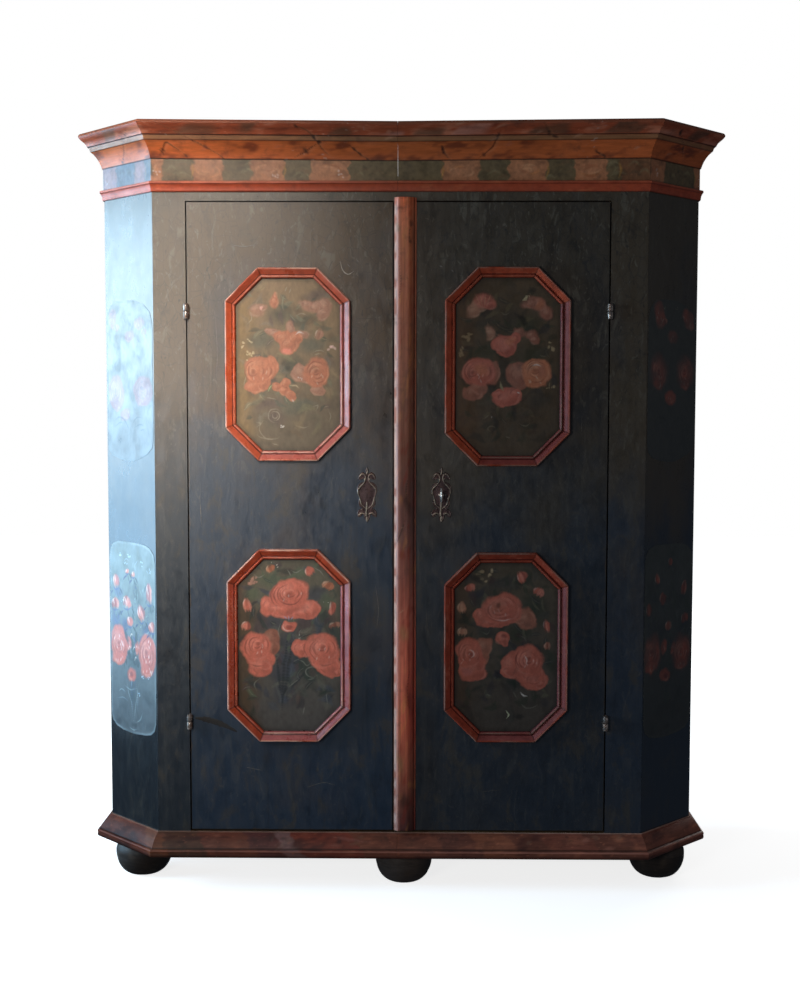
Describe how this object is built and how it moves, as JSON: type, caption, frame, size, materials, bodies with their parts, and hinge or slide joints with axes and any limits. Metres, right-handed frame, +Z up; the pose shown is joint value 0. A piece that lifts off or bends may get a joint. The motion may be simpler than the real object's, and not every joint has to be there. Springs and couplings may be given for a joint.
{
  "type": "painted cupboard",
  "caption": "Tall painted cupboard with canted front corners, doors with octagonal mouldings and rose bouquets, a marbled overhanging crown and bun feet.",
  "frame": {"origin": "on the floor, under the middle of the bounding box", "axes": "+Z up, +Y towards the back, so the doors face -Y, and +X to the right as seen from the front"},
  "size_m": [1.622, 0.579, 1.88],
  "materials": {
    "blue_body_paint": "old dark blue paint under varnish, with rose bouquets",
    "red_paint": "red paint, satin varnish",
    "marbled_red_paint": "red and ochre paint marbled by hand, satin varnish",
    "olive_frieze_paint": "salmon and olive blocks of marbled paint",
    "black_foot_paint": "black satin paint",
    "bare_wood": "unpainted softwood, dull",
    "wrought_iron": "dark worn iron"
  },
  "bodies": {
    "carcass": {"astragal_left": "red_paint", "astragal_right": "red_paint", "back_board_left": "bare_wood", "back_board_right": "bare_wood", "base_back_rail": "bare_wood", "base_cant_left": "marbled_red_paint", "base_cant_right": "marbled_red_paint", "base_front_left": "marbled_red_paint", "base_front_right": "marbled_red_paint", "base_side_left": "marbled_red_paint", "base_side_right": "marbled_red_paint", "cant_board_left": "blue_body_paint", "cant_board_right": "blue_body_paint", "crown_cant_left": "marbled_red_paint", "crown_cant_right": "marbled_red_paint", "crown_front_left": "marbled_red_paint", "crown_front_right": "marbled_red_paint", "crown_side_left": "marbled_red_paint", "crown_side_right": "marbled_red_paint", "floor_board_left": "bare_wood", "floor_board_right": "bare_wood", "foot_back_left": "black_foot_paint", "foot_back_right": "black_foot_paint", "foot_front_centre": "black_foot_paint", "foot_front_left": "black_foot_paint", "foot_front_right": "black_foot_paint", "frieze_left": "olive_frieze_paint", "frieze_right": "olive_frieze_paint", "hanging_rail": "bare_wood", "hat_shelf": "bare_wood", "hinge_frame_half_lower_left": "wrought_iron", "hinge_frame_half_lower_right": "wrought_iron", "hinge_frame_half_upper_left": "wrought_iron", "hinge_frame_half_upper_right": "wrought_iron", "roof_board_left": "bare_wood", "roof_board_right": "bare_wood", "side_board_left": "blue_body_paint", "side_board_right": "blue_body_paint", "stile_left": "blue_body_paint", "stile_right": "blue_body_paint", "top_rail_left": "blue_body_paint", "top_rail_right": "blue_body_paint"},
    "left_door": {"door_left": "blue_body_paint", "panel_frame_upper_left": "red_paint", "panel_frame_lower_left": "red_paint", "escutcheon_left": "wrought_iron", "bolt_keeper": "wrought_iron", "hinge_door_half_upper_left": "wrought_iron", "hinge_door_half_lower_left": "wrought_iron"},
    "turn_button": {"turn_button": "wrought_iron"},
    "right_door": {"door_right": "blue_body_paint", "panel_frame_upper_right": "red_paint", "panel_frame_lower_right": "red_paint", "cover_strip": "marbled_red_paint", "escutcheon_right": "wrought_iron", "lock_case": "wrought_iron", "hinge_door_half_upper_right": "wrought_iron", "hinge_door_half_lower_right": "wrought_iron"},
    "key": {"key": "wrought_iron"},
    "lock_bolt": {"lock_bolt": "wrought_iron"}
  },
  "joints": [
    {"name": "left_door_hinge", "type": "hinge", "parent": "carcass", "child": "left_door", "pos_m": [-0.5205, -0.2381, 0.1425], "axis": [0, 0, -1], "range_deg": [0, 170]},
    {"name": "turn_button_pivot", "type": "hinge", "parent": "left_door", "child": "turn_button", "pos_m": [-0.1065, -0.2042, 1.6625], "axis": [0, 1, 0], "range_deg": [0, 180]},
    {"name": "right_door_hinge", "type": "hinge", "parent": "carcass", "child": "right_door", "pos_m": [0.5105, -0.2381, 0.1425], "axis": [0, 0, 1], "range_deg": [0, 170]},
    {"name": "key_turn", "type": "hinge", "parent": "right_door", "child": "key", "pos_m": [0.1025, -0.2305, 0.9825], "axis": [0, 1, 0], "range_deg": [0, 360.01]},
    {"name": "bolt_slide", "type": "slide", "parent": "right_door", "child": "lock_bolt", "axis": [-1, 0, 0], "range_m": [0, 0.022]}
  ],
  "couplings": [
    {"joint": "key_turn", "follows": "bolt_slide", "rad_per_m": 285.6}
  ]
}
